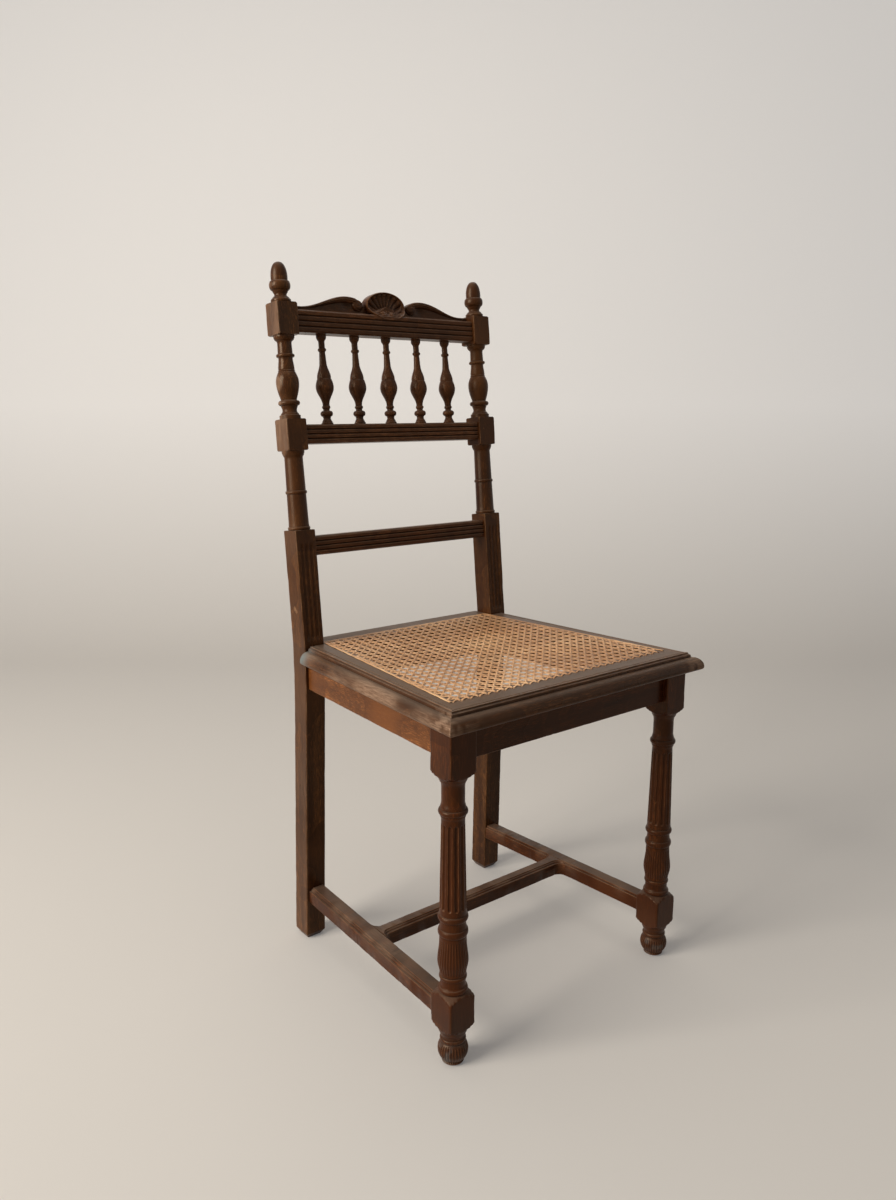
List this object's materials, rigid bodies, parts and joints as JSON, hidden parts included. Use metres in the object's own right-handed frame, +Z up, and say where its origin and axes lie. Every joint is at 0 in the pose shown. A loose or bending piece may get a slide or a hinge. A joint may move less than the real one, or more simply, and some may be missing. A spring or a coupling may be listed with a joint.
{
  "type": "cane seat side chair",
  "caption": "Dark walnut side chair with fluted turned legs, a spindle back under a carved crest and a worn hand-caned seat.",
  "frame": {"origin": "on the floor, at the middle of the chair's overall width and depth", "axes": "+Z up, -Y the way the sitter faces, +X to the right of someone who faces the chair"},
  "size_m": [0.452, 0.4526, 0.9876],
  "materials": {
    "walnut": "old dark walnut stain, satin, rubbed pale on the arrises",
    "dark_walnut": "old dark walnut stain, satin, darker in the hollows",
    "hidden_wood": "plain unfinished beech",
    "cane": "golden split cane, lightly glossed and dusty"
  },
  "bodies": {
    "root": {"cane_seat": "cane", "corner_blocks_front": "hidden_wood", "corner_blocks_rear": "hidden_wood", "crest_rail": "dark_walnut", "finial_left": "walnut", "finial_right": "walnut", "frame_dowels": "hidden_wood", "front_leg_left": "walnut", "front_leg_right": "walnut", "gallery_rail": "dark_walnut", "lower_back_rail": "dark_walnut", "rear_post_left": "walnut", "rear_post_right": "walnut", "seat_frame_front": "walnut", "seat_frame_left": "walnut", "seat_frame_rear": "walnut", "seat_frame_right": "walnut", "seat_rail_front": "dark_walnut", "seat_rail_left": "walnut", "seat_rail_rear": "dark_walnut", "seat_rail_right": "walnut", "spindle_1": "dark_walnut", "spindle_2": "dark_walnut", "spindle_3": "dark_walnut", "spindle_4": "dark_walnut", "spindle_5": "dark_walnut", "stretcher_cross": "walnut", "stretcher_left": "walnut", "stretcher_right": "walnut"}
  },
  "joints": []
}
